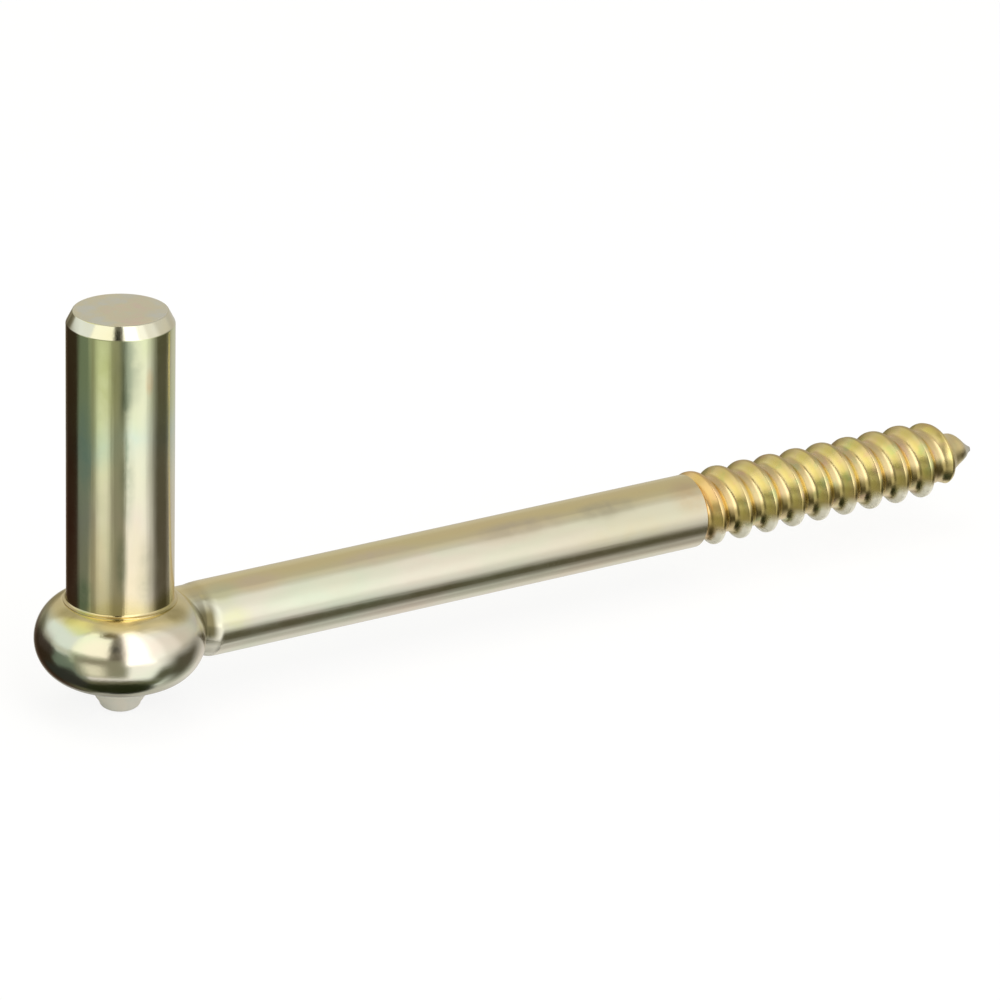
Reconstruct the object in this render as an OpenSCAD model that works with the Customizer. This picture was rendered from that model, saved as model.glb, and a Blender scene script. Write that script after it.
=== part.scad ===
// Screw-in hinge pin for a gate or shutter.
// A turned pin stands on the ball head of a heavy wood screw and is riveted down through it.
// The origin is on the pin's axis, where its straight side begins above the flared foot.
// The pin points along +Z and the screw along +X.

/* [Hinge pin] */
// Diameter of the pin
pin_d = 16; // [13:0.5:18]
// Length of the pin above its flared foot
pin_len = 44.7; // [25:0.1:80]
// Height of the chamfer round the top of the pin
chamfer_h = 1.9; // [0.5:0.1:4]
// How far that chamfer reaches in from the side of the pin
chamfer_in = 1; // [0.3:0.1:3]
// How far the foot of the pin flares out over the ball
foot_flare = 0.5; // [0.1:0.1:1]
// Height of the flared foot
foot_h = 0.6; // [0.2:0.1:2]

/* [Riveted tenon] */
// Diameter of the tenon that goes down through the ball
tenon_d = 8; // [6:0.5:8.5]
// Diameter of the peened end where it lies against the ball
rivet_d = 10.2; // [9:0.1:11]
// Height of the peened end
rivet_h = 4.2; // [1:0.1:6]
// Diameter of the flat that is left under the peened end
rivet_flat_d = 4.6; // [2:0.1:7]

/* [Ball head] */
// Diameter of the ball, seen from above
ball_d = 25.6; // [24:0.1:32]
// Height of the ball before its top and bottom are faced flat
ball_h = 15.4; // [14.4:0.1:20]
// Radius of the round side of the ball
ball_side_r = 6.5; // [4:0.1:7]

/* [Neck and shank] */
// Distance from the axis of the pin to the point of the screw
screw_len = 156; // [110:1:260]
// Diameter of the plain shank
shank_d = 11.5; // [10:0.1:13]
// Distance from where the shank leaves the ball to the middle of the neck groove
groove_step = 1; // [0.5:0.1:4]
// Radius of the round bottom of the neck groove
groove_r = 1.2; // [1.1:0.1:3]
// Depth of the neck groove at its sides
groove_depth = 0.7; // [0.3:0.1:1]
// How much deeper than that the groove is below, and shallower above
groove_lift = 0.5; // [0:0.1:0.6]
// Chamfer where the shank ends at the thread
shank_chamfer = 0.5; // [0.2:0.1:1]

/* [Wood thread] */
// Length of the thread, with the point
thread_len = 54; // [30:1:80]
// Diameter over the crests of the thread
thread_d = 12; // [10.5:0.1:15]
// Diameter of the core between the crests
core_d = 9; // [7:0.1:9.5]
// Distance from crest to crest
pitch = 5; // [3:0.1:7]
// Width of the flat on the crest
crest_w = 0.6; // [0.2:0.1:1]
// Width of the root between two ridges
root_w = 1.4; // [0.4:0.1:1.8]
// Length of the rounded point
point_len = 11; // [6:0.5:20]
// Diameter of the blunt tip
tip_d = 0.5; // [0.2:0.1:2]

/* [Hidden] */
$fn = 96;
STEEL_YELLOW = [0.80, 0.76, 0.55];
STEEL_GOLD = [0.78, 0.70, 0.42];

pin_r = pin_d / 2;
foot_r = pin_r + foot_flare;
ball_r = ball_d / 2;
half_h = ball_h / 2;
shank_r = shank_d / 2;
core_r = core_d / 2;
thread_r = thread_d / 2;

// The ball's outline is an oval of tangent arcs: a round side, and a flatter crown above and below.
side_x = ball_r - ball_side_r;
crown_r = (side_x ^ 2 + half_h ^ 2 - ball_side_r ^ 2) / (2 * (half_h - ball_side_r));
crown_end_x = side_x * crown_r / (crown_r - ball_side_r);

// Height of the oval above the ball's middle, at a distance from the pin's axis
function oval_height(x) = x < crown_end_x
    ? half_h - crown_r + sqrt(crown_r ^ 2 - x ^ 2)
    : sqrt(ball_side_r ^ 2 - (x - side_x) ^ 2);

// The ball is faced flat where the pin's foot and the peened end lie against it.
seat_h = oval_height(foot_r);
rivet_seat_h = oval_height(rivet_d / 2);
seat_z = -foot_h;
shank_z = seat_z - seat_h;
rivet_z = shank_z - rivet_seat_h;
groove_x = sqrt(ball_r ^ 2 - shank_r ^ 2) + groove_step;
shank_end_x = screw_len - thread_len;

module pin_outline() {
    polygon([
        [0, pin_len],
        [pin_r - chamfer_in, pin_len],
        [pin_r, pin_len - chamfer_h],
        [pin_r, 0],
        [foot_r, seat_z],
        [tenon_d / 2, seat_z],
        [tenon_d / 2, rivet_z],
        [rivet_d / 2, rivet_z],
        [rivet_flat_d / 2, rivet_z - rivet_h],
        [0, rivet_z - rivet_h],
    ]);
}

module hinge_pin() {
    color(STEEL_YELLOW)
    rotate_extrude() pin_outline();
}

module ball_outline() {
    intersection() {
        union() {
            translate([side_x, 0]) circle(ball_side_r);
            intersection() {
                translate([0, half_h - crown_r]) circle(crown_r, $fn = 4 * $fn);
                translate([0, crown_r - half_h]) circle(crown_r, $fn = 4 * $fn);
                translate([0, -half_h]) square([crown_end_x, ball_h]);
            }
        }
        translate([0, -rivet_seat_h]) square([ball_r, seat_h + rivet_seat_h]);
    }
}

// Turns a body of revolution from the Z axis onto the screw's axis
module along_screw() {
    rotate([90, 0, 90]) rotate_extrude() children();
}

// The shank's root is inside the ball, clear of the pin's foot.
module shank_outline() {
    polygon([
        [0, foot_r],
        [shank_r, foot_r],
        [shank_r, shank_end_x - shank_chamfer],
        [shank_r - shank_chamfer, shank_end_x],
        [0, shank_end_x],
    ]);
}

// The forging necks in where the ball ends. The groove sits a little high, so it fades out on top.
module neck_groove() {
    translate([0, 0, groove_lift])
    along_screw() translate([shank_r - groove_depth + groove_r, groove_x]) circle(groove_r);
}

// The thread is one skin wound round the core. Each pitch is described by a few points that give the
// place along the pitch, from 0 to 1, and the height, from 0 at the core to 1 at the crest.
ridge_edge = (pitch - root_w) / pitch / 2;
crest_edge = crest_w / pitch / 2;
flank_middle = (ridge_edge + crest_edge) / 2;
ROOT_RISE = 0.05;
FLANK_RISE = 0.42;
THREAD_FORM = [
    [0, 0],
    [0.5 - ridge_edge, ROOT_RISE],
    [0.5 - flank_middle, FLANK_RISE],
    [0.5 - crest_edge, 1],
    [0.5 + crest_edge, 1],
    [0.5 + flank_middle, FLANK_RISE],
    [0.5 + ridge_edge, ROOT_RISE],
];
TURN_STEPS = 24;
// The skin starts inside the shank, so that the two are joined over their whole section.
skin_start_x = shank_end_x - pitch / 2;
form_count = len(THREAD_FORM);
row_count = form_count * ceil((screw_len - skin_start_x) / pitch + 2);

// Share of the full radius that the rounded point leaves at x
function point_share(x) = let (left = max(0, min(1, (screw_len - x) / point_len))) 1 - (1 - left) ^ 2;

// Share of the full height that the ridge has risen to at x, near its start
function ridge_share(x) = max(0, min(1, (x - skin_start_x) / (shank_end_x - skin_start_x)));

// Place along the screw of a point of the skin, before it is kept between the start and the tip
function skin_x(row, step) = skin_start_x + pitch * (
    floor(row / form_count) - 1 + THREAD_FORM[row % form_count][0] + step / TURN_STEPS);

// The ridge gets lower as the point narrows.
function skin_point(row, step) = let (
    x = max(skin_start_x, min(screw_len, skin_x(row, step))),
    rise = THREAD_FORM[row % form_count][1] * ridge_share(x) * point_share(x),
    full_r = core_r + (thread_r - core_r) * rise,
    r = tip_d / 2 + (full_r - tip_d / 2) * point_share(x),
    angle = 360 * step / TURN_STEPS
) [x, r * cos(angle), r * sin(angle)];

// Number of a skin point. Points kept at the start or at the tip share one ring there.
first_ring = 0;
last_ring = TURN_STEPS;
rows_from = 2 * TURN_STEPS;
function skin_index(row, step) = let (
    turn_row = step == TURN_STEPS ? row + form_count : row,
    turn_step = step % TURN_STEPS,
    x = skin_x(turn_row, turn_step)
) x <= skin_start_x ? first_ring + turn_step
    : x >= screw_len ? last_ring + turn_step
    : rows_from + turn_row * TURN_STEPS + turn_step;

function is_face(corners) =
    corners[0] != corners[1] && corners[1] != corners[2] && corners[2] != corners[0];

module thread_skin() {
    steps = [0 : TURN_STEPS - 1];
    start_ring = [for (s = steps) let (a = 360 * s / TURN_STEPS)
        [skin_start_x, core_r * cos(a), core_r * sin(a)]];
    tip_ring = [for (s = steps) let (a = 360 * s / TURN_STEPS)
        [screw_len, tip_d / 2 * cos(a), tip_d / 2 * sin(a)]];
    winding = [for (row = [0 : row_count + form_count]) for (s = steps) skin_point(row, s)];
    skin_faces = [
        for (row = [0 : row_count - 1]) for (s = steps) let (
            near_left = skin_index(row, s),
            near_right = skin_index(row + 1, s),
            far_left = skin_index(row, s + 1),
            far_right = skin_index(row + 1, s + 1)
        ) for (corners = [[near_left, far_right, far_left], [near_left, near_right, far_right]])
            if (is_face(corners)) corners
    ];
    start_face = [for (s = steps) first_ring + s];
    tip_face = [for (s = steps) last_ring + TURN_STEPS - 1 - s];
    polyhedron(concat(start_ring, tip_ring, winding), concat([start_face], [tip_face], skin_faces));
}

module screw_shank() {
    color(STEEL_GOLD)
    translate([0, 0, shank_z])
    difference() {
        union() {
            rotate_extrude() ball_outline();
            along_screw() shank_outline();
            thread_skin();
        }
        neck_groove();
        translate([0, 0, -ball_h]) cylinder(d = tenon_d, h = 2 * ball_h);
    }
}

hinge_pin();
screw_shank();
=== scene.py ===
# %% [markdown]
# # A screw-in hinge pin
#
# The part carries a gate or a shutter. A turned pin stands on the ball head of a heavy wood screw and is
# riveted down through it. Both pieces are steel, zinc plated and passivated in a yellow chromate bath.
#
# The construction is already fixed: it is loaded first, as two plain solids in metres, with +Z along the
# pin and +X along the screw. Everything below dresses those two solids and never moves them.

# %% Load the construction
import math

import bpy
from mathutils import Matrix, Vector


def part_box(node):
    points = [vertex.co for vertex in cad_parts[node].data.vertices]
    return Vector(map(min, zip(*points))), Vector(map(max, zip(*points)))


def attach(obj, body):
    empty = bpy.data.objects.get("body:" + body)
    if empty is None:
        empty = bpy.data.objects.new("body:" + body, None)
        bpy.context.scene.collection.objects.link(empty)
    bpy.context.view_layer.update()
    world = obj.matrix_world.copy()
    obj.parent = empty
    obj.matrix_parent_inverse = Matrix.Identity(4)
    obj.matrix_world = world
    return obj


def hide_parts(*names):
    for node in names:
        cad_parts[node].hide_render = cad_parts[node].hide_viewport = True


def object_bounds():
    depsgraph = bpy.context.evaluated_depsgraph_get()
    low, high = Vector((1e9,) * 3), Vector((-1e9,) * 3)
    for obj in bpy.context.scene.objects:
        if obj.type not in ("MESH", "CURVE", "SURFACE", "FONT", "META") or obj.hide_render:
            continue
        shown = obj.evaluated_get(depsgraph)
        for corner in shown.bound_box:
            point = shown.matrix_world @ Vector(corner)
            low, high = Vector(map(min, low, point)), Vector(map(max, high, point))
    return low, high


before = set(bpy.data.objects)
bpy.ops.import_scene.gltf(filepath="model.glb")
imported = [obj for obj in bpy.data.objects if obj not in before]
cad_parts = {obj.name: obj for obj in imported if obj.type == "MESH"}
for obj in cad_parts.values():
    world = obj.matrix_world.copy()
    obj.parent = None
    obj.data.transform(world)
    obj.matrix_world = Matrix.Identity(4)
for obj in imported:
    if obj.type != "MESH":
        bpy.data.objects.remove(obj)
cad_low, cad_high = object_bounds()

MM = 0.001


def in_mm(place):
    """A place in millimetres, to two decimals, for the prints below."""
    return tuple(round(v / MM, 2) for v in place)


pin_low, pin_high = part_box("hinge_pin")
screw_low, screw_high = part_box("screw_shank")
print("pin from", in_mm(pin_low), "to", in_mm(pin_high))
print("screw from", in_mm(screw_low), "to", in_mm(screw_high))

# %% [markdown]
# ## Sizes
#
# The outer sizes come from the boxes of the two solids. The rest are the driving sizes of the
# construction, written here once in metres. Places that depend on them are worked out, not typed. The neck
# is the one form that differs: the construction cuts a round groove, and here it is a softer, longer dip,
# a little shallower and closer to the ball. Small roundings that only the look needs are set where they
# are used.

# %% Sizes of the pin and of its riveted tenon
pin_top = pin_high.z
pin_r = 8 * MM
foot_r = pin_high.x
foot_h = 0.6 * MM
chamfer_h = 1.9 * MM
chamfer_in = 1.0 * MM
tenon_r = 4 * MM
rivet_r = 5.1 * MM
rivet_flat_r = 2.3 * MM
rivet_low = pin_low.z
print(f"pin {2 * pin_r / MM:.1f} mm across, {pin_top / MM:.1f} mm tall above its foot")

# %% Sizes of the ball head
ball_r = -screw_low.x
ball_half_h = 7.7 * MM
ball_side_r = 6.5 * MM
# The ball's outline is an oval of four arcs: a round side, and a flatter crown above and below.
side_x = ball_r - ball_side_r
crown_r = (side_x ** 2 + ball_half_h ** 2 - ball_side_r ** 2) / (2 * (ball_half_h - ball_side_r))
crown_z = ball_half_h - crown_r
crown_angle = math.atan2(-crown_z, side_x)


def crown_height(radius):
    """Height of the ball's crown above its middle, at a distance from the pin's axis."""
    return crown_z + math.sqrt(crown_r ** 2 - radius ** 2)


seat_z = -foot_h
axis_z = seat_z - crown_height(foot_r)
rivet_z = axis_z - crown_height(rivet_r)
print(f"ball {2 * ball_r / MM:.1f} mm across, its middle {-axis_z / MM:.2f} mm below the pin's foot")

# %% Sizes of the shank, the neck and the thread
screw_tip = screw_high.x
shank_r = 5.75 * MM
groove_r = 1.2 * MM
groove_depth = 0.65 * MM
groove_lift = 0.5 * MM
groove_step = 0.6 * MM
groove_x = math.sqrt(ball_r ** 2 - shank_r ** 2) + groove_step
thread_len = 54 * MM
shank_end = screw_tip - thread_len
shank_chamfer = 0.5 * MM
thread_r = 6 * MM
core_r = 4.5 * MM
pitch = 5 * MM
crest_w = 0.6 * MM
point_len = 11 * MM
tip_r = 0.25 * MM
print(f"shank ends {shank_end / MM:.1f} mm from the pin's axis, the point is at {screw_tip / MM:.1f} mm")

# %% [markdown]
# ## Turning round pieces
#
# A lathe makes every round surface here, so one helper does the turning. A disc is added at its size and
# place, then extruded along its axis and scaled, ring by ring, until the far end. A spin round the axis
# would do as well, but it leaves doubled points on the axis and a seam that has to be merged.

# %% Helper: turn a round piece, ring by ring
SIDES = 128


def deselect():
    """Puts Blender in object mode with nothing selected, so that an operator acts on one piece only."""
    if bpy.context.object and bpy.context.object.mode != "OBJECT":
        bpy.ops.object.mode_set(mode="OBJECT")
    bpy.ops.object.select_all(action="DESELECT")


def only(piece):
    """Selects one piece and makes it the active one."""
    deselect()
    piece.select_set(True)
    bpy.context.view_layer.objects.active = piece


def turned(name, along_x, middle_z, stations):
    """A solid of revolution about X or Z. Each station is (place along the axis, radius)."""
    axis = Vector((1, 0, 0)) if along_x else Vector((0, 0, 1))
    base = Vector((0, 0, middle_z))
    place, radius = stations[0]
    deselect()
    bpy.ops.mesh.primitive_circle_add(
        vertices=SIDES, radius=radius, fill_type="NGON", location=base + axis * place,
        rotation=(0, math.pi / 2 if along_x else 0, 0))
    piece = bpy.context.active_object
    piece.name = name
    bpy.ops.object.transform_apply(location=True, rotation=True, scale=True)
    bpy.ops.object.mode_set(mode="EDIT")
    bpy.ops.mesh.select_all(action="SELECT")
    for next_place, next_radius in stations[1:]:
        step = axis * (next_place - place)
        share = next_radius / radius
        across = (1, share, share) if along_x else (share, share, 1)
        bpy.ops.mesh.extrude_region_move(TRANSFORM_OT_translate={"value": step})
        bpy.ops.transform.resize(value=across, center_override=base + axis * next_place)
        place, radius = next_place, next_radius
    bpy.ops.mesh.select_all(action="SELECT")
    bpy.ops.mesh.normals_make_consistent(inside=False)
    bpy.ops.object.mode_set(mode="OBJECT")
    return piece


def report(piece):
    """Prints a piece's size and whether its surface is closed."""
    mesh = piece.data
    used = {}
    for face in mesh.polygons:
        for key in face.edge_keys:
            used[key] = used.get(key, 0) + 1
    open_edges = sum(1 for count in used.values() if count != 2)
    low = [min(v.co[i] for v in mesh.vertices) for i in range(3)]
    high = [max(v.co[i] for v in mesh.vertices) for i in range(3)]
    print(f"{piece.name}: {len(mesh.polygons)} faces, {open_edges} open edges,",
          in_mm(low), "to", in_mm(high))


# %% [markdown]
# ## The hinge pin
#
# The real pin is cut from drawn bar. A lathe chamfers its top, leaves a small flared foot and turns the
# rest down to a tenon, which is pushed through the ball and peened over below. All of it is one piece of
# steel, so it is turned here in one go, from the peened end up. The foot sweeps out in a quarter round and
# ends in a thin rim. The peened end is a blunt cone, a little crowned under its end where the hammer fell.

# %% Turn the hinge pin
foot_rim_h = 0.22 * MM
foot_steps = 6
rivet_steps = 6
rivet_crown_h = 1.2 * MM
rivet_crown_r = 0.9 * MM


def quarter(index, count):
    """Angle of a point on a quarter circle cut into count steps."""
    return math.pi / 2 * index / count


# The cone's side ends at the height of the crown. From there a quarter of an oval closes it.
cone_share = rivet_crown_h / (rivet_z - rivet_low)
cone_end_r = rivet_flat_r + (rivet_r - rivet_flat_r) * cone_share
rivet_outline = [
    (rivet_low + rivet_crown_h * (1 - math.cos(quarter(i, rivet_steps))),
     rivet_crown_r + (cone_end_r - rivet_crown_r) * math.sin(quarter(i, rivet_steps)))
    for i in range(rivet_steps + 1)
] + [(rivet_z, rivet_r)]
foot_outline = [
    (seat_z + foot_rim_h + (foot_h - foot_rim_h) * (1 - math.cos(quarter(i, foot_steps))),
     foot_r - (foot_r - pin_r) * math.sin(quarter(i, foot_steps)))
    for i in range(foot_steps + 1)
]
pin_piece = turned("turned_hinge_pin", False, 0, rivet_outline + [
    (rivet_z, tenon_r),
    (seat_z, tenon_r),
    (seat_z, foot_r),
] + foot_outline + [
    (pin_top / 2, pin_r),
    (pin_top - chamfer_h, pin_r),
    (pin_top, pin_r - chamfer_in),
])
report(pin_piece)

# %% Round the pin's turned edges
# No turned edge is razor sharp: the tumbling drum before the plating rounds it by a tenth or two.
edge_round = 0.14 * MM


def bevel_rings(piece, places, width, segments):
    """Bevels the closed rings of edges round Z that lie at these (height, radius) places."""
    only(piece)
    bpy.ops.object.mode_set(mode="EDIT")
    bpy.ops.mesh.select_mode(type="EDGE")
    bpy.ops.mesh.select_all(action="DESELECT")
    bpy.ops.object.mode_set(mode="OBJECT")
    mesh = piece.data
    slack = 0.01 * MM

    def on_ring(point):
        radius = math.hypot(point.x, point.y)
        return any(abs(point.z - z) < slack and abs(radius - r) < slack for z, r in places)

    ringed = [on_ring(v.co) for v in mesh.vertices]
    for edge in mesh.edges:
        a, b = edge.vertices
        level = abs(mesh.vertices[a].co.z - mesh.vertices[b].co.z) < slack
        edge.select = ringed[a] and ringed[b] and level
    chosen = sum(edge.select for edge in mesh.edges)
    bpy.ops.object.mode_set(mode="EDIT")
    bpy.ops.mesh.bevel(offset=width, segments=segments, affect="EDGES", clamp_overlap=True)
    bpy.ops.object.mode_set(mode="OBJECT")
    print(f"{piece.name}: {chosen} edges rounded by {width / MM:.2f} mm")


chamfer_rings = [(pin_top, pin_r - chamfer_in), (pin_top - chamfer_h, pin_r)]
rim_rings = [(seat_z, foot_r), (seat_z + foot_rim_h, foot_r)]
bevel_rings(pin_piece, chamfer_rings, edge_round, 4)
bevel_rings(pin_piece, rim_rings, edge_round / 3, 2)
report(pin_piece)

# %% [markdown]
# ## The ball head
#
# The screw is one forging. Its head was upset into a squat ball and then faced flat above and below,
# where the pin's foot and the peened end lie against it. The ball is turned round Z through the angles of
# its arcs, so the rings crowd where the outline bends most.

# %% Turn the ball head
arc_steps = 52
top_angle = math.acos(foot_r / crown_r)
low_angle = math.acos(rivet_r / crown_r)


def ball_station(angle):
    """(height, radius) on the ball's outline where its surface faces this far up from level."""
    if abs(angle) <= crown_angle:
        return ball_side_r * math.sin(angle), side_x + ball_side_r * math.cos(angle)
    height = crown_z + crown_r * math.sin(abs(angle))
    return math.copysign(height, angle), crown_r * math.cos(angle)


ball_stations = [
    ball_station(-low_angle + (low_angle + top_angle) * i / arc_steps) for i in range(arc_steps + 1)]
forging = turned("screw_forging", False, axis_z, ball_stations)
report(forging)

# %% [markdown]
# ## The shank and the neck
#
# The shank is drawn wire, smooth and plain. It is turned about X, from inside the ball to its small end
# chamfer, with close rings where the neck will be.
#
# The forging dies nip the shank where it leaves the ball. They nip it from below, so the dip is deepest
# there and fades out on top. No operator makes a dip of uneven depth, so the rings of the neck are pulled
# in by a short rule, one point at a time.

# %% Turn the shank
neck_steps = 24
neck_start = groove_x - groove_r
neck_reach = 2.2 * groove_r
neck_rings = [neck_start + (groove_r + neck_reach) * i / neck_steps for i in range(neck_steps + 1)]
# A few rings further on keep the long faces of the plain shank from being slivers.
shank_rings = [foot_r] + neck_rings + [x * MM for x in (20, 35, 60, 85, 97)]
shank = turned("shank", True, axis_z, [(x, shank_r) for x in shank_rings] + [
    (shank_end - shank_chamfer, shank_r),
    (shank_end, shank_r - shank_chamfer),
])
report(shank)

# %% Nip the neck


def nip(x):
    """Share of the full depth of the neck at x: full where it is hidden in the ball, then a soft rise."""
    beyond = max(0, min(1, (x - groove_x) / neck_reach))
    return (1 - beyond) ** 2


deepest = 0
for point in shank.data.vertices:
    y, z = point.co.y, point.co.z - axis_z
    radius = math.hypot(y, z)
    depth = (groove_depth - groove_lift * z / radius) * nip(point.co.x)
    deepest = max(deepest, depth)
    point.co = (point.co.x, y * (1 - depth / radius), axis_z + z * (1 - depth / radius))
print(f"neck nipped by up to {deepest / MM:.2f} mm")

# %% [markdown]
# ## The wood thread
#
# Rolling dies press the thread into the blank: a coarse right-hand ridge with a narrow crest, steep flanks
# and a wide round fillet on each side of the root. One pitch of that outline is drawn with the extrude
# operator, point by point, the corners of the crest are rounded with a vertex bevel, and the Screw modifier
# winds it round the axis.

# %% Draw one pitch of the thread
thread_depth = thread_r - core_r
crest_edge = crest_w / 2
half = pitch / 2
flank_angle = math.radians(48)
fillet_r = 1.3 * MM
fillet_steps = 8
# The fillet ends where the flank begins, on the flank's line down from the crest.
fillet_rise = fillet_r * (1 - math.cos(flank_angle))
fillet_top_x = half - crest_edge - (thread_depth - fillet_rise) / math.tan(flank_angle)
fillet_foot_x = fillet_top_x - fillet_r * math.sin(flank_angle)
left_fillet = [
    (fillet_foot_x + fillet_r * math.sin(flank_angle * i / fillet_steps),
     fillet_r * (1 - math.cos(flank_angle * i / fillet_steps)))
    for i in range(fillet_steps + 1)
]
left_half = [(0, 0)] + left_fillet + [(half - crest_edge, thread_depth)]
thread_form = left_half + [(pitch - x, rise) for x, rise in reversed(left_half)]
print(f"root flat for {2 * fillet_foot_x / MM:.2f} mm, fillets up to {fillet_rise / MM:.2f} mm")
# The winding starts one pitch before the ridge does, and both ends are trimmed afterwards.
ridge_start = shank_end - half
spare_turns = 2
turns = math.ceil((screw_tip - ridge_start) / pitch) + spare_turns
deselect()
bpy.ops.mesh.primitive_plane_add(size=MM, location=(ridge_start - pitch, 0, axis_z))
thread = bpy.context.active_object
thread.name = "wood_thread"
bpy.ops.object.mode_set(mode="EDIT")
bpy.ops.mesh.select_mode(type="VERT")
bpy.ops.mesh.select_all(action="SELECT")
bpy.ops.mesh.merge(type="CENTER")
bpy.ops.mesh.select_all(action="SELECT")
bpy.ops.transform.translate(value=(0, core_r, 0))
for (x, rise), (next_x, next_rise) in zip(thread_form, thread_form[1:]):
    bpy.ops.mesh.extrude_vertices_move(
        TRANSFORM_OT_translate={"value": (next_x - x, next_rise - rise, 0)})
bpy.ops.object.mode_set(mode="OBJECT")
print(f"one pitch of the thread has {len(thread.data.vertices)} points, for {turns} turns")

# %% Round its corners and wind it
crest_round = 0.16 * MM
turn_steps = 96


def select_profile(keep):
    """Selects the profile's points for which keep(x, rise) holds."""
    bpy.ops.object.mode_set(mode="EDIT")
    bpy.ops.mesh.select_mode(type="VERT")
    bpy.ops.mesh.select_all(action="DESELECT")
    bpy.ops.object.mode_set(mode="OBJECT")
    for point in thread.data.vertices:
        point.select = keep(point.co.x, point.co.y - core_r)
    bpy.ops.object.mode_set(mode="EDIT")


near = 0.001 * MM
select_profile(lambda x, rise: rise > thread_depth - near)
bpy.ops.mesh.bevel(offset=crest_round, segments=3, affect="VERTICES", clamp_overlap=True)
bpy.ops.object.mode_set(mode="OBJECT")
print(f"with round corners it has {len(thread.data.vertices)} points")
only(thread)
winding = thread.modifiers.new("winding", "SCREW")
winding.axis = "X"
winding.angle = 2 * math.pi
winding.screw_offset = pitch
winding.iterations = turns
winding.steps = turn_steps
winding.render_steps = turn_steps
bpy.ops.object.modifier_apply(modifier="winding")
bpy.ops.object.transform_apply(location=True, rotation=True, scale=True)


def tidy(piece):
    """Merges doubled points and turns every face outwards."""
    only(piece)
    bpy.ops.object.mode_set(mode="EDIT")
    bpy.ops.mesh.select_all(action="SELECT")
    bpy.ops.mesh.remove_doubles(threshold=near)
    bpy.ops.mesh.normals_make_consistent(inside=False)
    bpy.ops.object.mode_set(mode="OBJECT")


tidy(thread)
report(thread)

# %% [markdown]
# The dies roll the ridge out of nothing at its start and run it down into the point at its end. No single
# operator does that along a helix, so each point of the thread is moved in or out by a short rule: the
# ridge grows over its first half turn, and the point closes on a parabola.

# %% Shape the start and the point of the thread


def point_share(x):
    """Share of the full radius that the rounded point leaves at x."""
    left = max(0, min(1, (screw_tip - x) / point_len))
    return 1 - (1 - left) ** 2


def ridge_share(x):
    """Share of the full height that the ridge has risen to at x."""
    return max(0, min(1, (x - ridge_start) / (shank_end - ridge_start)))


for point in thread.data.vertices:
    x, y, z = point.co.x, point.co.y, point.co.z - axis_z
    radius = math.hypot(y, z)
    full_r = core_r + (radius - core_r) * ridge_share(x) * math.sqrt(point_share(x))
    share = (tip_r + (full_r - tip_r) * point_share(x)) / radius
    point.co = (x, y * share, axis_z + z * share)


def trim(piece, x, keep_right):
    """Cuts a piece square at x, throws one side away and closes the cut."""
    only(piece)
    bpy.ops.object.mode_set(mode="EDIT")
    bpy.ops.mesh.select_all(action="SELECT")
    bpy.ops.mesh.bisect(
        plane_co=(x, 0, axis_z), plane_no=(1, 0, 0), threshold=near / 10, use_fill=True,
        clear_inner=keep_right, clear_outer=not keep_right)
    bpy.ops.object.mode_set(mode="OBJECT")


trim(thread, ridge_start, True)
trim(thread, screw_tip, False)
tidy(thread)
report(thread)

# %% [markdown]
# ## One forging
#
# Ball, shank and thread are one piece of steel, so they are united, and then the tenon's bore is cut.

# %% Unite the forging, then cut the bore


def cut_or_unite(piece, other, operation):
    """Applies one boolean to a piece and removes the other one."""
    only(piece)
    change = piece.modifiers.new(operation.lower(), "BOOLEAN")
    change.operation = operation
    change.solver = "EXACT"
    change.object = other
    bpy.ops.object.modifier_apply(modifier=change.name)
    bpy.data.objects.remove(other)


cut_or_unite(forging, shank, "UNION")
cut_or_unite(forging, thread, "UNION")
deselect()
bpy.ops.mesh.primitive_cylinder_add(
    vertices=SIDES, radius=tenon_r, depth=4 * ball_half_h, location=(0, 0, axis_z))
cut_or_unite(forging, bpy.context.active_object, "DIFFERENCE")
tidy(forging)
report(forging)

# %% [markdown]
# ## Smooth shading
#
# The turned surfaces are rings of flat faces. Smooth shading blends the light across them, so that they look
# round. Smoothing everything would smear the real edges too, so faces that meet at a large angle keep their
# crisp edge: where the ball is faced flat, and round the rim of the bore.

# %% Smooth shading, with the real edges kept
sharp_from = math.radians(28)
for piece in (pin_piece, forging):
    only(piece)
    bpy.ops.object.shade_smooth_by_angle(angle=sharp_from)
    print(f"{piece.name}: shaded smooth")

# %% [markdown]
# ## Yellow chromate over zinc
#
# The film is far thinner than a wavelength of red light is long, so it shows faint colours of its own:
# straw, pale green and a trace of pink, in soft patches as thick and thin film drained off the part. Under
# it lies bright zinc. That makes a metal with a tinted base colour, whose tint wanders with a slow noise.
# All patterns read Object coordinates in metres, so their scales are real sizes on the part.

# %% Helper: add a node


def add_node(tree, kind, choices=None, **inputs):
    """Adds a node, sets its choices, and fills or links its inputs, which are named or numbered as _0."""
    made = tree.nodes.new(kind)
    for key, value in (choices or {}).items():
        setattr(made, key, value)
    for key, value in inputs.items():
        socket = made.inputs[int(key[1:])] if key.startswith("_") else made.inputs[key.replace("_", " ")]
        if isinstance(value, bpy.types.NodeSocket):
            tree.links.new(value, socket)
        else:
            socket.default_value = value
    return made


EVEN = (1, 1, 1)


def noise(tree, place, scale, detail, stretch=EVEN):
    """A noise of about 1 / scale metres, drawn out where stretch is under 1."""
    spread = add_node(tree, "ShaderNodeMapping", Vector=place, Scale=stretch)
    made = add_node(
        tree, "ShaderNodeTexNoise", Vector=spread.outputs["Vector"], Scale=scale, Detail=detail,
        Roughness=0.55)
    return made.outputs["Fac"]


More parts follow.
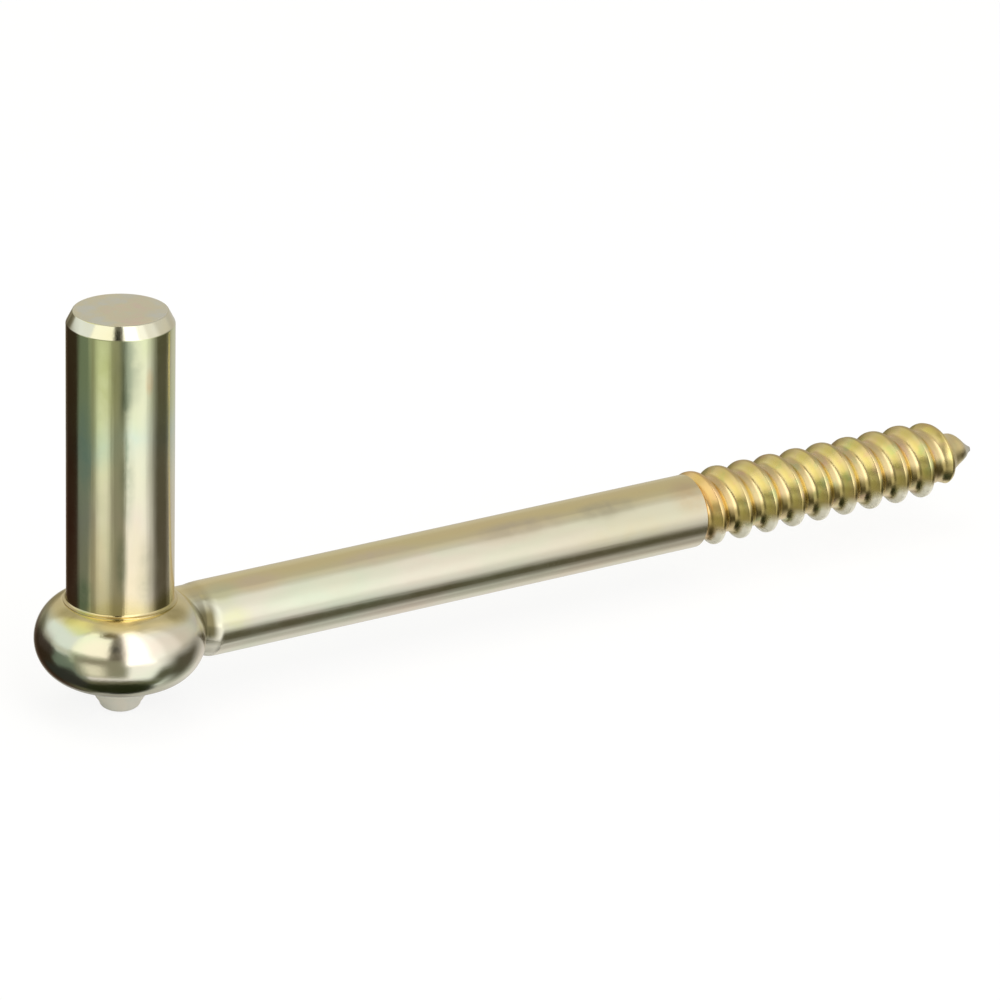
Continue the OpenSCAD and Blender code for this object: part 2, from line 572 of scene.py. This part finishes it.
def colour_ramp(tree, factor, stops):
    """A colour ramp with these (place, colour) stops."""
    made = add_node(tree, "ShaderNodeValToRGB", Fac=factor)
    stops_there = made.color_ramp.elements
    while len(stops_there) < len(stops):
        stops_there.new(1)
    for stop, (place, colour) in zip(stops_there, stops):
        stop.position = place
        stop.color = (*colour, 1)
    return made.outputs["Color"]


def between(tree, value, low, high, to_low, to_high):
    """Maps a value from one range to another with soft ends."""
    made = add_node(
        tree, "ShaderNodeMapRange", {"interpolation_type": "SMOOTHSTEP"}, Value=value, From_Min=low,
        From_Max=high, To_Min=to_low, To_Max=to_high)
    return made.outputs["Result"]


def blend(tree, factor, tint, colour):
    """Blends a plain colour, or a second tint, over a tint by a factor."""
    over = colour if isinstance(colour, bpy.types.NodeSocket) else (*colour, 1)
    return add_node(tree, "ShaderNodeMix", {"data_type": "RGBA"}, _0=factor, _6=tint, _7=over).outputs[2]


def arithmetic(tree, operation, first, second=0.0):
    """One Math node."""
    return add_node(tree, "ShaderNodeMath", {"operation": operation}, _0=first, _1=second).outputs[0]


def product(tree, first, second):
    """Both shares at once: 1 only where each of them is 1."""
    return arithmetic(tree, "MULTIPLY", first, second)


def vector_node(tree, operation, first, second=(0, 0, 0)):
    """One Vector Math node."""
    return add_node(tree, "ShaderNodeVectorMath", {"operation": operation}, _0=first, _1=second)


# %% [markdown]
# Each finish is the same plating with its own tints, gloss and grain. A finish takes a lengthwise stretch
# for the faint lines that drawing leaves in bar and wire.

# %% Helper: one plated finish
STRAW = (0.88, 0.86, 0.68)
LEAF = (0.79, 0.85, 0.58)
MOSS = (0.8, 0.85, 0.54)
SEA = (0.74, 0.84, 0.72)
BLUSH = (0.88, 0.79, 0.68)
PEACH = (0.92, 0.8, 0.6)
GOLD = (0.94, 0.79, 0.38)
FRESH = (0.88, 0.85, 0.65)
ALONG_Z = (1, 1, 0.02)
ALONG_X = (0.02, 1, 1)
# The steel's own soft waves are drawn out less than the fine lines are.
WAVE_STRETCH = {ALONG_Z: (1, 1, 0.2), ALONG_X: (0.2, 1, 1), EVEN: EVEN}
# How many of each pattern there are to a metre.
CLOUDS = 220
WAVES = 420
LINES = 2600
GRAINS = 3800


def new_material(name):
    """An empty material: its node tree, its shader and the Object coordinates."""
    made = bpy.data.materials.new(name)
    made.use_nodes = True
    tree = made.node_tree
    shader = tree.nodes["Principled BSDF"]
    shader.inputs["Metallic"].default_value = 1.0
    place = add_node(tree, "ShaderNodeTexCoord").outputs["Object"]
    return made, tree, shader, place


def plate(tree, shader, colour, place, gloss, grain, draw_lines, line_depth):
    """Joins the colour, a wandering roughness and the relief of the steel and its plating to the shader."""
    cloud = noise(tree, place, CLOUDS, 3)
    rough = between(tree, cloud, 0.3, 0.7, gloss[0], gloss[1])
    tree.links.new(rough, shader.inputs["Roughness"])
    tree.links.new(colour, shader.inputs["Base Color"])
    lines = noise(tree, place, LINES, 2, draw_lines)
    fine = noise(tree, place, GRAINS, 3)
    waves = noise(tree, place, WAVES, 2, WAVE_STRETCH[draw_lines])
    wavy = add_node(tree, "ShaderNodeBump", Strength=0.35, Distance=0.05 * MM, Height=waves)
    relief = add_node(
        tree, "ShaderNodeBump", Strength=grain, Distance=0.02 * MM, Height=fine,
        Normal=wavy.outputs["Normal"])
    drawn = add_node(
        tree, "ShaderNodeBump", Strength=line_depth, Distance=0.03 * MM, Height=lines,
        Normal=relief.outputs["Normal"])
    tree.links.new(drawn.outputs["Normal"], shader.inputs["Normal"])


# %% [markdown]
# On the undersides, where metal would mirror the dark below, the finish is made less of a metal and its
# tint is paler: a painted reflection of the bright floor.

# %% Helper: the duller, paler undersides, a painted reflection of the floor
UNDERSIDE_DULLS_BY = 0.8


def dull(tree, shader, pale_underside):
    """Where pale_underside is 1 the finish is made less of a metal, for a painted reflection of the bright
    floor.
    """
    metal = arithmetic(tree, "SUBTRACT", 1.0, product(tree, pale_underside, UNDERSIDE_DULLS_BY))
    tree.links.new(metal, shader.inputs["Metallic"])


# %% [markdown]
# The film ran and pooled as it drained off the part, which left stains of other tints here and there.
# A stain is an oval in space, broken up by a noise: on the thin film of a surface only its cut shows.

# %% Helper: stains of the film


def stained(tree, place, tint, stains):
    """Blends stains over a tint. A stain is (middle, reach along each axis, colour, strength)."""
    broken = between(tree, noise(tree, place, 320, 3), 0.32, 0.64, 0.5, 1)
    for middle, half_axes, colour, strength in stains:
        shifted = vector_node(tree, "SUBTRACT", place, middle)
        scaled = vector_node(tree, "DIVIDE", shifted.outputs[0], half_axes)
        far = vector_node(tree, "LENGTH", scaled.outputs[0])
        share = between(tree, far.outputs["Value"], 0.2, 1, strength, 0)
        tint = blend(tree, product(tree, share, broken), tint, colour)
    return tint


def on_pin(turn, height):
    """A place on the pin's side, turned this many degrees from -Y towards -X, at a height in millimetres."""
    angle = math.radians(turn)
    return (-pin_r * math.sin(angle), -pin_r * math.cos(angle), height * MM)


def on_shank(along, rise):
    """A place on the shank, this many millimetres from the pin's axis and turned up from -Y by an angle."""
    angle = math.radians(rise)
    return (along * MM, -shank_r * math.cos(angle), axis_z + shank_r * math.sin(angle))


def on_crown(turn, out):
    """A place on top of the ball, turned as on the pin, this many millimetres out from the pin's axis."""
    angle, radius = math.radians(turn), out * MM
    return (-radius * math.sin(angle), -radius * math.cos(angle), axis_z + crown_height(radius))


def reach(x, y, z):
    """The half axes of a stain, in millimetres."""
    return (x * MM, y * MM, z * MM)


# %% [markdown]
# The stains of the pin follow the photograph: a long dark run and a pale one beside it near the top, brown
# and olive pools at the foot, and a few faint patches between. Each is (middle, reach, colour, strength).

# %% Stains of the pin
FOOT_POOL = (0.8, 0.68, 0.36)
PIN_STAINS = [
    (on_pin(24.5, 38), reach(1.5, 1.5, 13), (0.08, 0.13, 0.07), 1),
    (on_pin(21, 39), reach(3, 3, 11), (0.44, 0.48, 0.36), 0.7),
    (on_pin(36.5, 38), reach(1.6, 1.6, 12), (0.99, 0.99, 0.68), 0.9),
    (on_pin(22.5, 21), reach(1.6, 1.6, 10), (0.5, 0.54, 0.42), 0.75),
    (on_pin(28.5, 8), reach(1.2, 1.2, 7), (0.5, 0.52, 0.4), 0.75),
    (on_pin(2, 6), reach(2, 2, 8), (0.58, 0.55, 0.42), 0.7),
    (on_pin(23, 26), reach(0.5, 0.5, 3.5), (0.42, 0.52, 0.4), 0.8),
    (on_pin(71, 26), reach(2.2, 2.2, 9), (0.56, 0.74, 0.68), 0.7),
    (on_pin(44, 37), reach(2.6, 2.6, 9), (0.66, 0.69, 0.36), 0.7),
    (on_pin(96, 14), reach(2.2, 2.2, 17), (0.74, 0.48, 0.38), 0.8),
    (on_pin(-2, 36), reach(1, 1, 3), (0.9, 0.68, 0.42), 0.6),
    (on_pin(30, 0), reach(5, 5, 4), (0.85, 0.7, 0.36), 0.9),
    (on_pin(72, 2), reach(2.6, 2.6, 5), (0.46, 0.54, 0.34), 0.85),
    (on_pin(-28, 0), reach(4, 4, 4), (0.5, 0.45, 0.19), 0.85),
]
print(f"{len(PIN_STAINS)} stains on the pin")

# %% The pin's finishes


def pin_finish():
    """Polished plating, greenest at the top of the pin and warmest at its foot."""
    made, tree, shader, place = new_material("pin_chromate")
    height = add_node(tree, "ShaderNodeSeparateXYZ", Vector=place).outputs["Z"]
    up_the_pin = between(tree, height, 0, pin_top, 0, 1)
    drift = product(tree, noise(tree, place, 90, 3, (1, 1, 0.6)), 0.7)
    share = arithmetic(tree, "ADD", up_the_pin, arithmetic(tree, "SUBTRACT", drift, 0.35))
    tint = colour_ramp(tree, share, [
        (0.0, PEACH), (0.2, BLUSH), (0.42, STRAW), (0.6, SEA), (0.8, LEAF), (1.0, MOSS)])
    patches = noise(tree, place, 160, 2, (1, 1, 0.35))
    tint = blend(tree, between(tree, patches, 0.4, 0.7, 0, 0.6), tint, STRAW)
    tint = blend(tree, between(tree, height, 2.5 * MM, 0, 0, 0.8), tint, FOOT_POOL)
    tint = stained(tree, place, tint, PIN_STAINS)
    plate(tree, shader, tint, place, (0.1, 0.17), 0.15, ALONG_Z, 0.25)
    return made


def end_finish():
    """The cropped top of the bar: the same film on a coarse, matt face."""
    made, tree, shader, place = new_material("pin_end_chromate")
    patches = noise(tree, place, 260, 4)
    tint = colour_ramp(
        tree, patches, [(0.32, (0.93, 0.8, 0.7)), (0.5, (0.89, 0.85, 0.68)), (0.68, (0.85, 0.86, 0.8))])
    plate(tree, shader, tint, place, (0.42, 0.55), 0.6, EVEN, 0.3)
    return made


def rivet_finish():
    """The hammered end: the blows crush the film to a dull, pale grey that scatters the light."""
    made, tree, shader, place = new_material("rivet_chromate")
    shader.inputs["Metallic"].default_value = 0.2
    patches = noise(tree, place, 300, 3)
    tint = colour_ramp(tree, patches, [(0.35, (0.86, 0.82, 0.73)), (0.65, (0.8, 0.8, 0.74))])
    plate(tree, shader, tint, place, (0.45, 0.6), 0.5, EVEN, 0.3)
    return made


def chamfer_finish():
    """The chamfer is cut last, so its film is the thinnest: pale and bright."""
    made, tree, shader, place = new_material("chamfer_chromate")
    patches = noise(tree, place, 150, 2)
    tint = colour_ramp(tree, patches, [(0.35, FRESH), (0.65, (0.88, 0.89, 0.77))])
    plate(tree, shader, tint, place, (0.08, 0.13), 0.1, EVEN, 0.1)
    return made


# %% Give each face of the pin its finish
for finish in (pin_finish, end_finish, rivet_finish, chamfer_finish):
    pin_piece.data.materials.append(finish())
SIDE, END, RIVET, CHAMFER = range(4)
for face in pin_piece.data.polygons:
    if face.center.z < rivet_z:
        face.material_index = RIVET
    elif face.center.z > pin_top - near:
        face.material_index = END
    elif face.center.z > pin_top - chamfer_h:
        face.material_index = CHAMFER
    else:
        face.material_index = SIDE
for number, film in enumerate(pin_piece.data.materials):
    dressed = sum(face.material_index == number for face in pin_piece.data.polygons)
    print(film.name, "on", dressed, "faces")

# %% [markdown]
# On the screw the film is pale. Its neck is darkened with painted shade, and so is the underside of the
# ball;
# below the neck a paler, less metallic patch is a painted reflection of the bright floor. The thread is
# another matter: rolling left it rough, so it holds a thick golden film. Its top is browner and its side
# olive, both painted shade, its underside is paler and less metallic for a painted reflection of the floor,
# and at its tip the film is rubbed off to the bare steel.

# %% Stains and tints of the screw
AGED = (0.82, 0.76, 0.58)
# Painted shade for the dip of the neck.
NECK_PAINTED_SHADE = (0.13, 0.11, 0.045)
# Painted shade for the underside of the ball.
PAINTED_SHADE_UNDER_BALL = (0.3, 0.3, 0.2)
# Paler tint below the neck, for a painted reflection of the floor.
NECK_PAINTED_REFLECTION = (0.84, 0.82, 0.72)
SHANK_STAINS = [
    (on_shank(22, 66), reach(6, 2.6, 2.6), (0.88, 0.76, 0.56), 0.8),
    (on_shank(15.5, 60), reach(4, 3, 3), (0.78, 0.8, 0.56), 0.8),
    (on_shank(16.5, 12), reach(4, 3.2, 3.2), (0.88, 0.89, 0.55), 0.65),
    (on_shank(43, 60), reach(10, 2.6, 2.6), (0.84, 0.74, 0.62), 0.6),
    (on_shank(29, 22), reach(8, 2.6, 2.6), (0.82, 0.9, 0.74), 0.6),
    (on_shank(68, 56), reach(12, 2.6, 2.6), (0.72, 0.66, 0.52), 0.8),
    (on_shank(84, 56), reach(8, 2.6, 2.6), (0.62, 0.6, 0.46), 0.8),
    (on_shank(99.5, 50), reach(5, 4.5, 4.5), (0.8, 0.64, 0.42), 0.75),
    (on_shank(88, 10), reach(14, 3.5, 3.5), (0.84, 0.78, 0.58), 0.8),
    (on_crown(-30, 9.4), reach(4, 4, 2), (0.5, 0.43, 0.2), 0.85),
    (on_crown(84, 9.4), reach(3.5, 3.5, 1.6), (0.56, 0.5, 0.24), 0.85),
]
print(f"{len(SHANK_STAINS)} stains on the shank and the ball")

# %% The finish of the ball and the shank


def screw_finish():
    """Satin plating, pale on the ball and the shank, with painted shade in the neck and under the ball, and
    a paler, less metallic patch below the neck for a painted reflection of the floor.
    """
    made, tree, shader, place = new_material("screw_chromate")
    x, y, z = add_node(tree, "ShaderNodeSeparateXYZ", Vector=place).outputs
    patches = noise(tree, place, 90, 3, (0.4, 1, 1))
    tint = colour_ramp(tree, patches, [
        (0.32, (0.88, 0.78, 0.68)), (0.45, (0.87, 0.84, 0.73)),
        (0.58, (0.8, 0.85, 0.7)), (0.7, (0.86, 0.85, 0.7))])
    tint = blend(tree, between(tree, x, 40 * MM, 85 * MM, 0, 0.45), tint, AGED)
    # Painted reflection of the pin's golden foot: a gold band round the top of the ball next to it.
    tint = blend(tree, between(tree, z, seat_z - 2 * MM, seat_z - 0.4 * MM, 0, 0.75), tint, GOLD)
    tint = stained(tree, place, tint, SHANK_STAINS)
    # Painted shade in the neck: a dark olive band along its dip, from a little below the axis, fading out
    # towards the top.
    from_crease = arithmetic(tree, "ABSOLUTE", arithmetic(tree, "SUBTRACT", x, groove_x))
    painted_neck_shade = between(tree, from_crease, 0.7 * MM, 2.1 * MM, 0.95, 0)
    above = between(tree, z, axis_z + 2.5 * MM, axis_z + 5.6 * MM, 1, 0.15)
    below = between(tree, z, axis_z - 2.4 * MM, axis_z - 0.2 * MM, 0, 1)
    tint = blend(tree, product(tree, painted_neck_shade, product(tree, above, below)), tint, NECK_PAINTED_SHADE)
    # Painted shade on the underside of the ball, below its middle.
    shade_under_ball = product(
        tree, between(tree, z, axis_z - 5.6 * MM, axis_z - 3 * MM, 0.8, 0),
        between(tree, x, 9 * MM, 10.5 * MM, 1, 0))
    tint = blend(tree, shade_under_ball, tint, PAINTED_SHADE_UNDER_BALL)
    nipped = product(
        tree, between(tree, x, groove_x - 1 * MM, groove_x, 0, 1),
        between(tree, x, groove_x + 1.4 * MM, groove_x + 2.9 * MM, 1, 0))
    # A painted reflection of the bright floor: below the neck the finish is paler and less of a metal.
    pale_underside = product(tree, nipped, between(tree, z, axis_z - 2.8 * MM, axis_z - 0.8 * MM, 1, 0))
    tint = blend(tree, pale_underside, tint, NECK_PAINTED_REFLECTION)
    dull(tree, shader, pale_underside)
    plate(tree, shader, tint, place, (0.13, 0.19), 0.2, ALONG_X, 0.3)
    return made


# %% The finish of the thread
# The tint at each share of the rise, from 0 at the core to 1 at the crest.
THREAD_TINTS = [
    (0.0, (0.88, 0.7, 0.42)), (0.05, (0.9, 0.75, 0.4)), (0.3, (0.93, 0.8, 0.27)),
    (0.65, (0.8, 0.67, 0.21)), (0.95, (0.8, 0.65, 0.34))]
FLECKS = [(0.34, (0.95, 0.62, 0.46)), (0.45, GOLD), (0.55, GOLD), (0.66, (0.58, 0.78, 0.36))]
FLECK_SHARE = 0.45
# Painted shade on top of the thread.
BROWN_PAINTED_SHADE = (0.52, 0.4, 0.22)
ORANGE = (0.95, 0.64, 0.3)
# Painted shade along the side of the thread.
OLIVE_PAINTED_SHADE = (0.34, 0.26, 0.07)
PALE_GOLD = (0.88, 0.76, 0.4)
BARE_STEEL = (0.7, 0.7, 0.64)
# Paler tint on the thread's underside, for a painted reflection of the floor.
THREAD_PAINTED_REFLECTION = (0.9, 0.88, 0.76)


def thread_finish():
    """Golden and duller: the film gathers in the fillets of the thread and wears thin on its crests. Painted
    shade darkens its top and its side, and its underside is paler for a painted reflection of the floor.
    """
    made, tree, shader, place = new_material("thread_chromate")
    x, y, z = add_node(tree, "ShaderNodeSeparateXYZ", Vector=place).outputs
    from_axis = arithmetic(tree, "SUBTRACT", z, axis_z)
    squares = arithmetic(tree, "ADD", product(tree, y, y), product(tree, from_axis, from_axis))
    radius = arithmetic(tree, "SQRT", squares)
    rise = between(tree, radius, core_r, thread_r, 0, 1)
    tint = colour_ramp(tree, rise, THREAD_TINTS)
    tint = blend(tree, FLECK_SHARE, tint, colour_ramp(tree, noise(tree, place, 330, 3), FLECKS))
    # Painted shade: the top of the thread is made browner.
    tint = blend(tree, between(tree, from_axis, 3.6 * MM, 5.6 * MM, 0, 0.5), tint, BROWN_PAINTED_SHADE)
    tint = blend(tree, between(tree, x, shank_end, shank_end + 1.6 * pitch, 0.75, 0), tint, ORANGE)
    # Painted shade: an olive band along the side of the thread, from a little below its axis to a little
    # above.
    shaded = product(
        tree, between(tree, from_axis, 0, 1.6 * MM, 0.75, 0),
        between(tree, from_axis, -2.4 * MM, -1 * MM, 0, 1))
    tint = blend(tree, shaded, tint, OLIVE_PAINTED_SHADE)
    cone = between(tree, x, screw_tip - 8 * MM, screw_tip - 5 * MM, 0, 0.6)
    tint = blend(tree, cone, tint, PALE_GOLD)
    tip = between(tree, x, screw_tip - 3.5 * MM, screw_tip - 1 * MM, 0, 0.85)
    tint = blend(tree, tip, tint, BARE_STEEL)
    # A painted reflection of the bright floor: on the underside, away from the root, the thread is paler and
    # less of a metal.
    off_root = between(tree, radius, core_r + 0.2 * MM, core_r + 1 * MM, 0, 1)
    pale_underside = product(tree, off_root, between(tree, from_axis, -3.1 * MM, -0.9 * MM, 1, 0))
    tint = blend(tree, pale_underside, tint, THREAD_PAINTED_REFLECTION)
    dull(tree, shader, pale_underside)
    plate(tree, shader, tint, place, (0.22, 0.32), 0.35, ALONG_X, 0.3)
    return made


# %% Give each face of the screw its finish
forging.data.materials.append(screw_finish())
forging.data.materials.append(thread_finish())
golden_from = shank_end - shank_chamfer
for face in forging.data.polygons:
    face.material_index = 1 if face.center.x > golden_from else 0
print("screw: satin plating, golden from", round(golden_from / MM, 1), "mm on")

# %% [markdown]
# ## Which solid each piece stands for
#
# Nothing moves on this part, so both pieces ride on its one body. Each stands for one solid, which stays
# in the model for collision but isn't shown.

# %% Ride on the body and stand in for the solid
for piece, node, slot in (
        (pin_piece, "hinge_pin", "pin_plating"), (forging, "screw_shank", "screw_plating")):
    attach(piece, "root")
    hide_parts(node)
    print(f"{piece.name} stands for {node}")

# %% [markdown]
# ## The camera
#
# The view was found by fitting a perspective camera to the outlines of the photograph: it stands about a
# metre away with a long lens, a little above the part and to the left of the screw. The ball's middle is
# placed at its own pixel, and the long lens does the rest.

# %% Place the camera
FRAME_PX = 1000
FOCAL_PX = 6765.4
SENSOR_MM = 36
VIEW_SIDE = math.radians(33.36)
VIEW_UP = math.radians(21.57)
VIEW_ROLL = math.radians(1.35)
VIEW_DISTANCE = 1.0
BALL_PX = (120.1, 636.7)

to_camera = Vector((
    -math.sin(VIEW_SIDE) * math.cos(VIEW_UP), -math.cos(VIEW_SIDE) * math.cos(VIEW_UP), math.sin(VIEW_UP)))
level_to_camera = Vector((to_camera.x, to_camera.y, 0)).normalized()
level_right = Vector((math.cos(VIEW_SIDE), -math.sin(VIEW_SIDE), 0))
level_up = level_right.cross(-to_camera)
right = math.cos(VIEW_ROLL) * level_right + math.sin(VIEW_ROLL) * level_up
up = math.cos(VIEW_ROLL) * level_up - math.sin(VIEW_ROLL) * level_right
across = (BALL_PX[0] - FRAME_PX / 2) / FOCAL_PX * VIEW_DISTANCE
above = (FRAME_PX / 2 - BALL_PX[1]) / FOCAL_PX * VIEW_DISTANCE
ball_middle = Vector((0, 0, axis_z))
eye = ball_middle - right * across - up * above + to_camera * VIEW_DISTANCE

lens = bpy.data.cameras.new("camera")
lens.sensor_width = SENSOR_MM
lens.lens = SENSOR_MM * FOCAL_PX / FRAME_PX
lens.clip_start = 0.1
lens.clip_end = 20
camera = bpy.data.objects.new("camera", lens)
bpy.context.scene.collection.objects.link(camera)
camera.matrix_world = Matrix.Translation(eye) @ Matrix((right, up, to_camera)).transposed().to_4x4()
bpy.context.scene.camera = camera
print(f"lens {lens.lens:.1f} mm, camera at", tuple(round(v, 3) for v in eye))

# %% [markdown]
# ## The floor
#
# The floor is plain and nearly white. The camera sees it mostly as an even white glow, with enough of the
# true surface mixed in to keep the part's soft shadow. Polished metal shows the whole studio, so the floor
# is left out of the reflections: the studio's own pale floor, below, stands there for it.

# %% Lay the floor
FLOOR_GAP = 0.05 * MM
FLOOR_SIZE = 8.0
FLOOR_WHITE = (0.9, 0.91, 0.95, 1)
GLOW_STRENGTH = 1.05
GLOW_SHARE = 0.8
deselect()
bpy.ops.mesh.primitive_plane_add(size=FLOOR_SIZE, location=(0, 0, cad_low.z - FLOOR_GAP))
floor = bpy.context.active_object
floor.name = "floor"
floor.visible_glossy = False


def floor_paint():
    """White paint for every ray, and a white glow as well where the camera looks."""
    made = bpy.data.materials.new("floor_white")
    made.use_nodes = True
    tree = made.node_tree
    shader = tree.nodes["Principled BSDF"]
    shader.inputs["Base Color"].default_value = FLOOR_WHITE
    shader.inputs["Roughness"].default_value = 0.9
    shader.inputs["Specular IOR Level"].default_value = 0.0
    glow = add_node(tree, "ShaderNodeEmission", Color=(1, 1, 1, 1), Strength=GLOW_STRENGTH)
    seen = add_node(tree, "ShaderNodeLightPath").outputs["Is Camera Ray"]
    share = product(tree, seen, GLOW_SHARE)
    mixed = add_node(
        tree, "ShaderNodeMixShader", _0=share, _1=shader.outputs["BSDF"], _2=glow.outputs["Emission"])
    tree.links.new(mixed.outputs["Shader"], tree.nodes["Material Output"].inputs["Surface"])
    return made


floor.data.materials.append(floor_paint())
print(f"floor {-floor.location.z / MM:.2f} mm below the pin's foot")

# %% [markdown]
# ## The studio
#
# Bright metal has hardly a look of its own: it shows the room. A part like this is photographed in a tent
# of white cloth with a softbox on each side of the lens, a dark slit between them for the camera, and
# darker gaps where the cloth ends. Each panel is a soft-edged patch of the sky, given by its bearing from
# the camera (to the right is more), its height, and how far its edges fade across and up, in degrees. A
# later panel hangs in front of an earlier one. The camera itself sees plain white.

# %% Helper: a soft-edged patch of the studio


def patch(tree, value, low, high, soft):
    """1 between low and high, falling to 0 over soft degrees beyond each."""
    rising = between(tree, value, low - soft, low, 0, 1)
    falling = between(tree, value, high, high + soft, 1, 0)
    return product(tree, rising, falling)


# %% Hang the panels
WHITE = (1, 1, 1)
CLOTH = (0.52, 0.49, 0.41)
PANELS = [
    # name, bearings, heights, softness across and up, colour
    ("floor", (-180, 180), (-90, -8), (12, 12), (0.85, 0.85, 0.8)),
    ("floor behind", (115, 180), (-58, 8), (16, 16), (0.56, 0.54, 0.49)),
    ("back wall", (150, 174), (-56, -30), (12, 12), (0.72, 0.7, 0.64)),
    ("back wall on the left", (-180, -168), (-50, 30), (10, 10), (0.57, 0.55, 0.5)),
    ("right cloth", (80, 122), (10, 60), (18, 18), (0.64, 0.6, 0.52)),
    ("right cloth, behind", (142, 180), (2, 66), (16, 16), (0.52, 0.49, 0.44)),
    ("left cloth", (-122, -68), (12, 44), (12, 12), (0.82, 0.84, 0.82)),
    ("left cloth, top", (-122, -78), (48, 58), (16, 16), (0.8, 0.8, 0.45)),
    ("left cloth, corner", (-165, -130), (-8, 4), (10, 12), (0.25, 0.23, 0.16)),
    ("gap behind on the left", (-156, -110), (-54, -14), (12, 12), (0.08, 0.05, 0.035)),
    ("left floor", (-112, -57), (-54, -10), (10, 11), (0.16, 0.19, 0.15)),
    ("left stand", (-140, -102), (-60, -18), (9, 40), (0.03, 0.018, 0.01)),
    ("left stand, head", (-128, -96), (-14, -5), (9, 7), (0.045, 0.032, 0.025)),
    ("under the left softbox", (-60, -16), (-12, 8), (10, 10), (0.46, 0.48, 0.35)),
    ("left softbox", (-60, -14), (12, 61), (8, 8), (1.12, 1.08, 0.88)),
    ("slit for the lens", (-8, 4), (0, 60), (7, 7), (0.12, 0.11, 0.075)),
    ("slit for the lens, low", (-56, 14), (-42, -2), (8, 8), (0.26, 0.26, 0.18)),
    ("left softbox, on the floor", (-38, -28), (-36, -20), (20, 14), (0.78, 0.8, 0.62)),
    ("lens", (-7, 2), (26, 38), (4, 4), (0.012, 0.012, 0.005)),
    ("above the lens", (-38, -2), (62, 72), (8, 8), (0.13, 0.1, 0.04)),
    ("overhead", (-180, 180), (78, 90), (8, 8), (0.68, 0.61, 0.44)),
    ("right softbox, spill", (60, 84), (-2, 58), (15, 15), (0.86, 0.83, 0.76)),
    ("right softbox", (15, 48), (-9, 72), (7, 7), (1.7, 1.66, 1.56)),
    ("right softbox, edge", (48, 60), (4, 68), (9, 16), (1.1, 1.08, 1.02)),
    ("right softbox, on the floor", (21, 54), (-44, -16), (12, 9), (1.0, 1.01, 0.93)),
    ("right floor", (90, 112), (-40, -18), (33, 30), (0.09, 0.08, 0.055)),
    ("shade beside the shank", (66, 78), (-46, -38), (14, 24), (0.09, 0.085, 0.05)),
    ("floor in front", (-150, 88), (-90, -60), (12, 12), (0.12, 0.12, 0.07)),
    ("left floor, near", (-125, -74), (-90, -38), (12, 12), (0.03, 0.03, 0.025)),
    ("shade under the part", (-180, 180), (-90, -70), (8, 8), (0.018, 0.022, 0.008)),
    ("floor behind the screw", (-180, -168), (-60, -26), (6, 6), (0.5, 0.49, 0.45)),
]

# %% Light the tent


def studio():
    """The world: white for the camera, and the tent with its panels for light and reflections."""
    world = bpy.data.worlds.new("studio")
    world.use_nodes = True
    tree = world.node_tree
    tree.nodes.clear()
    direction = add_node(tree, "ShaderNodeTexCoord").outputs["Generated"]
    forward = vector_node(tree, "DOT_PRODUCT", direction, level_to_camera)
    sideways = vector_node(tree, "DOT_PRODUCT", direction, level_right)
    turn = arithmetic(tree, "ARCTAN2", sideways.outputs["Value"], forward.outputs["Value"])
    bearing = arithmetic(tree, "DEGREES", turn)
    upward = add_node(tree, "ShaderNodeSeparateXYZ", Vector=direction).outputs["Z"]
    height = arithmetic(tree, "DEGREES", arithmetic(tree, "ARCSINE", upward))
    colour = (*CLOTH, 1)
    for _, bearings, heights, (soft_across, soft_up), panel in PANELS:
        wide = patch(tree, bearing, *bearings, soft_across)
        tall = patch(tree, height, *heights, soft_up)
        colour = blend(tree, product(tree, wide, tall), colour, panel)
    seen = add_node(tree, "ShaderNodeLightPath").outputs["Is Camera Ray"]
    colour = blend(tree, seen, colour, WHITE)
    sky = add_node(tree, "ShaderNodeBackground", Color=colour, Strength=1.0)
    out = add_node(tree, "ShaderNodeOutputWorld")
    tree.links.new(sky.outputs["Background"], out.inputs["Surface"])
    return world


scene = bpy.context.scene
scene.world = studio()
scene.view_settings.view_transform = "Standard"
print(f"studio with {len(PANELS)} panels")

# %% [markdown]
# One lamp stands where the right softbox is. It gives the part its soft shadow on the floor. A weaker one on
# the left fills that shadow, and a wide one hangs high behind the part, so that no edge of it goes dark.
# The metal doesn't mirror the lamps: the panels above stand there for them.

# %% Hang the lamps
LAMPS = [
    # name, bearing and height in degrees, distance and size in metres, power in watts
    ("right_softbox", 38, 38, 0.8, 0.5, 1.2),
    ("left_softbox", -34, 34, 0.8, 0.45, 0.5),
    ("top_softbox", 180, 75, 0.9, 0.6, 1.0),
]


def softbox(name, bearing, height, distance, size, power):
    """A square area lamp that faces the ball, placed by its bearing from the camera and its height."""
    level_aim = level_to_camera * math.cos(bearing) + level_right * math.sin(bearing)
    aim = level_aim * math.cos(height) + Vector((0, 0, math.sin(height)))
    light = bpy.data.lights.new(name, "AREA")
    light.shape = "SQUARE"
    light.size = size
    light.energy = power
    lamp = bpy.data.objects.new(name, light)
    bpy.context.scene.collection.objects.link(lamp)
    lamp.location = ball_middle + aim * distance
    lamp.rotation_euler = aim.to_track_quat("Z", "Y").to_euler()
    lamp.visible_camera = False
    lamp.visible_glossy = False


for name, bearing, height, distance, size, power in LAMPS:
    softbox(name, math.radians(bearing), math.radians(height), distance, size, power)
print(f"{len(LAMPS)} lamps")
